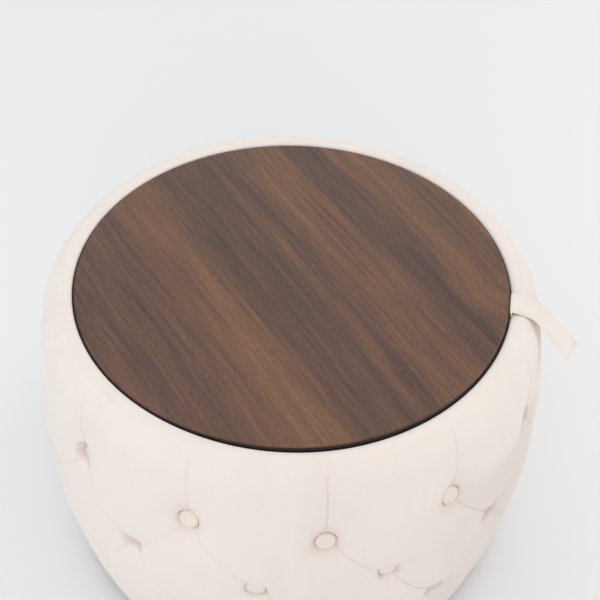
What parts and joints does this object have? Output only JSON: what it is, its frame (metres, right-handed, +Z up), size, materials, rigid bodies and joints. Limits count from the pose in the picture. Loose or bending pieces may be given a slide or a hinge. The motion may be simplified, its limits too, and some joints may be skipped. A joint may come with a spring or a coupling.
{
  "type": "storage ottoman",
  "caption": "Round button-tufted velvet ottoman with a hollow inside and a drop-in wooden tray lid lifted by a fabric pull tab.",
  "frame": {"origin": "on the floor under the barrel's axis, which is the middle of the centre glide's sole", "axes": "+Z up along the barrel's axis, +X towards the side where the pull tab hangs, +Y away from the front"},
  "size_m": [0.6694, 0.6324, 0.4227],
  "materials": {
    "velvet": "matte",
    "walnut": "satin",
    "edge_band": "satin",
    "plywood": "matte",
    "hardboard": "matte",
    "foam": "matte",
    "lining_cloth": "matte",
    "dust_cloth": "matte",
    "glide_plastic": "matte"
  },
  "bodies": {
    "barrel": {"tufted_cover": "velvet", "button_top_01": "velvet", "button_top_02": "velvet", "button_top_03": "velvet", "button_top_04": "velvet", "button_top_05": "velvet", "button_top_06": "velvet", "button_top_07": "velvet", "button_top_08": "velvet", "button_top_09": "velvet", "button_top_10": "velvet", "button_top_11": "velvet", "button_top_12": "velvet", "button_middle_01": "velvet", "button_middle_02": "velvet", "button_middle_03": "velvet", "button_middle_04": "velvet", "button_middle_05": "velvet", "button_middle_06": "velvet", "button_middle_07": "velvet", "button_middle_08": "velvet", "button_middle_09": "velvet", "button_middle_10": "velvet", "button_middle_11": "velvet", "button_middle_12": "velvet", "button_bottom_01": "velvet", "button_bottom_02": "velvet", "button_bottom_03": "velvet", "button_bottom_04": "velvet", "button_bottom_05": "velvet", "button_bottom_06": "velvet", "button_bottom_07": "velvet", "button_bottom_08": "velvet", "button_bottom_09": "velvet", "button_bottom_10": "velvet", "button_bottom_11": "velvet", "button_bottom_12": "velvet", "bottom_board": "plywood", "top_ring": "plywood", "ledge_ring": "plywood", "upright_1": "plywood", "upright_2": "plywood", "upright_3": "plywood", "inner_wall": "hardboard", "outer_wall": "hardboard", "foam_wrap": "foam", "storage_lining": "lining_cloth", "dust_cover": "dust_cloth", "glide_centre": "glide_plastic", "glide_1": "glide_plastic", "glide_2": "glide_plastic", "glide_3": "glide_plastic", "glide_4": "glide_plastic"},
    "lid": {"lid_panel": "walnut", "lid_edge_band": "edge_band", "lid_backing_board": "plywood", "lid_pad_foam": "foam", "lid_pad_cover": "velvet", "tab_tail": "velvet"},
    "pull_tab": {"pull_tab": "velvet"}
  },
  "joints": [
    {"name": "lid_lift", "type": "slide", "parent": "barrel", "child": "lid", "axis": [0, 0, 1], "range_m": [0, 0.3]},
    {"name": "tab_hinge", "type": "hinge", "parent": "lid", "child": "pull_tab", "pos_m": [0.2661, -0.03503, 0.4193], "axis": [-0.1305, -0.9914, 0], "range_deg": [0, 110]}
  ]
}
